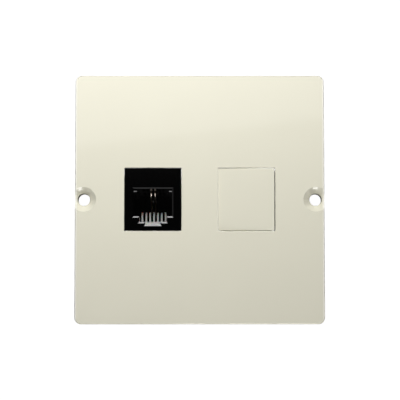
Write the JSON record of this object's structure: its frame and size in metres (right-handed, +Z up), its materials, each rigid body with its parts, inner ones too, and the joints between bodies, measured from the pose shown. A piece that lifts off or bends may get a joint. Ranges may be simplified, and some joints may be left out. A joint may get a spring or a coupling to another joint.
{
  "type": "telephone wall socket",
  "caption": "Square cream wall plate with a snap-in modular telephone jack in its left port, a blanking insert in its right port and a countersunk screw hole at each side.",
  "frame": {"origin": "midway between the two screw holes, on the plane of the back rim, where the plate meets the wall box", "axes": "+Z up the wall, +X to the right as one faces the plate, +Y into the wall; the plate's face looks along -Y"},
  "size_m": [0.0644, 0.0304, 0.0644],
  "materials": {
    "cream_plastic": "glossy cream moulding",
    "black_plastic": "black moulding, slight sheen",
    "pale_nylon": "uncoloured nylon, satin",
    "gold_plated_wire": "gold plate over spring bronze, polished",
    "board_laminate": "green glass-filled laminate",
    "tinned_bronze": "tinned spring bronze, dull"
  },
  "bodies": {
    "root": {"faceplate": "cream_plastic", "blanking_insert": "cream_plastic", "jack_housing": "black_plastic", "contact_carrier": "black_plastic", "termination_block": "black_plastic", "contact_comb": "pale_nylon", "wire_cap_lower": "pale_nylon", "wire_cap_upper": "pale_nylon", "contact_wire_left": "gold_plated_wire", "contact_wire_right": "gold_plated_wire", "circuit_board": "board_laminate", "idc_blade_lower_left": "tinned_bronze", "idc_blade_lower_right": "tinned_bronze", "idc_blade_upper_left": "tinned_bronze", "idc_blade_upper_right": "tinned_bronze"}
  },
  "joints": []
}
